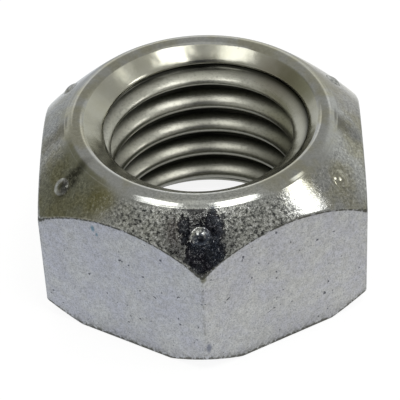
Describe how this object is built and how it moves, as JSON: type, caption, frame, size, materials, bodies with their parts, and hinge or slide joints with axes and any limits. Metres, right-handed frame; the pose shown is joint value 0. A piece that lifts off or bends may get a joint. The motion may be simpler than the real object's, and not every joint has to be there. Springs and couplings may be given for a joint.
{
  "type": "lock nut",
  "caption": "Hexagon lock nut with domed conical top, squeezed crown, grade dots and left-hand threaded bore.",
  "frame": {"origin": "centre of the bore in the plane of the bearing face", "axes": "+Z along the bore from the bearing face to the crown, -Y through a corner of the hexagon, X across two flats"},
  "size_m": [0.0238, 0.0274, 0.0132],
  "materials": {
    "zinc_plated_steel": "clear zinc plate over steel, satin flats and a shinier, mottled cone"
  },
  "bodies": {
    "root": {"lock_nut": "zinc_plated_steel"}
  },
  "joints": []
}
